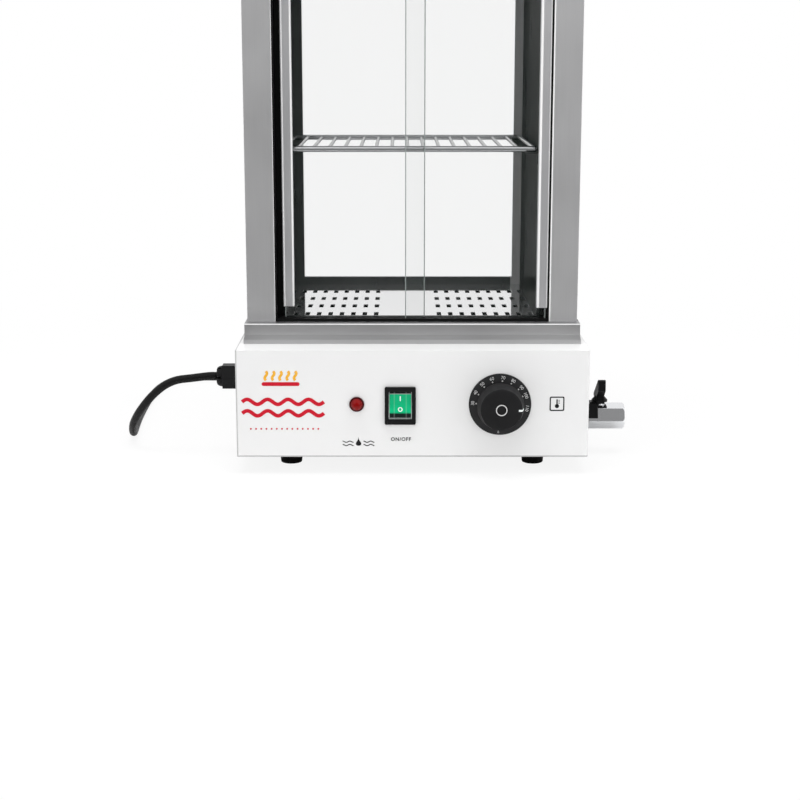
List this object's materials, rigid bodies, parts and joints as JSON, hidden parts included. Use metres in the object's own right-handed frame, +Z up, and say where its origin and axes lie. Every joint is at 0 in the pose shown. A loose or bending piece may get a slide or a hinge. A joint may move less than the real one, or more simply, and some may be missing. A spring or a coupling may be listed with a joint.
{
  "type": "hot dog steamer",
  "caption": "Counter-top steam cabinet with sliding glass doors, slotted steam plate and bun rack over a heated water tank, with dial, switch, lamp and drain valve.",
  "frame": {"origin": "on the table, under the middle of the box round everything except the free cord, its coil, tie and plug", "axes": "+Z up; -Y towards the front with the controls and doors; +X to the viewer's right, where the drain valve is"},
  "size_m": [0.4459, 0.4213, 0.44],
  "materials": {
    "white_paint": "satin",
    "satin_steel": "satin",
    "inner_steel": "satin",
    "mirror_steel": "polished",
    "plain_steel": "plain",
    "bright_wire": "bright",
    "zinc_screws": "zinc plated",
    "heater_metal": "oxidised",
    "copper_probe": "plain",
    "brass_fittings": "plain",
    "valve_chrome": "satin plated",
    "black_plastic": "satin",
    "switch_plastic": "gloss",
    "scale_plastic": "printed",
    "red_lens": "translucent",
    "green_rocker": "translucent",
    "ivory_plastic": "plain",
    "black_rubber": "plain",
    "clear_glass": "clear"
  },
  "bodies": {
    "cabinet": {"base_housing": "white_paint", "bottom_plate": "plain_steel", "rubber_feet": "black_rubber", "foot_screws": "zinc_screws", "bottom_screws": "zinc_screws", "water_tank": "mirror_steel", "heating_element": "heater_metal", "heater_nuts": "brass_fittings", "dry_run_cutout": "black_plastic", "drain_pipe": "brass_fittings", "drain_nuts": "brass_fittings", "valve_body": "valve_chrome", "lever_stop": "black_plastic", "lamp_lens": "red_lens", "lamp_body": "black_plastic", "switch_housing": "switch_plastic", "thermostat_body": "plain_steel", "thermostat_screws": "zinc_screws", "thermostat_probe": "copper_probe", "dial_scale": "scale_plastic", "terminal_block": "ivory_plastic", "gland_body": "black_plastic", "gland_nut": "black_plastic", "gland_locknut": "black_plastic", "inner_lead": "black_rubber", "mains_cord": "black_rubber", "cord_coil": "black_rubber", "cord_tail": "black_rubber", "coil_tie": "black_plastic", "plug_body": "black_rubber", "plug_pins": "valve_chrome", "collar_frame": "satin_steel", "left_side_panel": "satin_steel", "right_side_panel": "satin_steel", "left_chamber_wall": "inner_steel", "right_chamber_wall": "inner_steel", "rear_panel": "inner_steel", "rear_cover": "satin_steel", "rear_glass": "clear_glass", "rear_glass_seal": "black_rubber", "roof_cover": "satin_steel", "bottom_door_track": "black_plastic", "top_door_track": "black_plastic", "left_door_jamb": "black_plastic", "right_door_jamb": "black_plastic", "steam_plate": "mirror_steel", "bun_shelf": "bright_wire", "shelf_rails": "inner_steel", "cabinet_screws": "zinc_screws"},
    "left_door": {"left_door_glass": "clear_glass", "left_door_handle": "satin_steel"},
    "right_door": {"right_door_glass": "clear_glass", "right_door_handle": "satin_steel"},
    "power_rocker": {"switch_rocker": "green_rocker"},
    "heat_knob": {"dial_knob": "black_plastic", "thermostat_shaft": "plain_steel"},
    "drain_lever": {"valve_lever": "black_plastic", "valve_stem": "valve_chrome", "valve_ball": "valve_chrome"}
  },
  "joints": [
    {"name": "left_door_slide", "type": "slide", "parent": "cabinet", "child": "left_door", "axis": [1, 0, 0], "range_m": [-0.0046, 0.1021]},
    {"name": "right_door_slide", "type": "slide", "parent": "cabinet", "child": "right_door", "axis": [1, 0, 0], "range_m": [-0.1059, 0]},
    {"name": "power_rocker_hinge", "type": "hinge", "parent": "cabinet", "child": "power_rocker", "pos_m": [-0.01805, -0.128, 0.0578], "axis": [1, 0, 0], "range_deg": [0, 20]},
    {"name": "heat_knob_hinge", "type": "hinge", "parent": "cabinet", "child": "heat_knob", "pos_m": [0.06375, -0.143, 0.059], "axis": [0, 1, 0], "range_deg": [-269, 5]},
    {"name": "drain_lever_hinge", "type": "hinge", "parent": "cabinet", "child": "drain_lever", "pos_m": [0.15455, -0.058, 0.0325], "axis": [0, 0, 1], "range_deg": [-90, 0]}
  ]
}
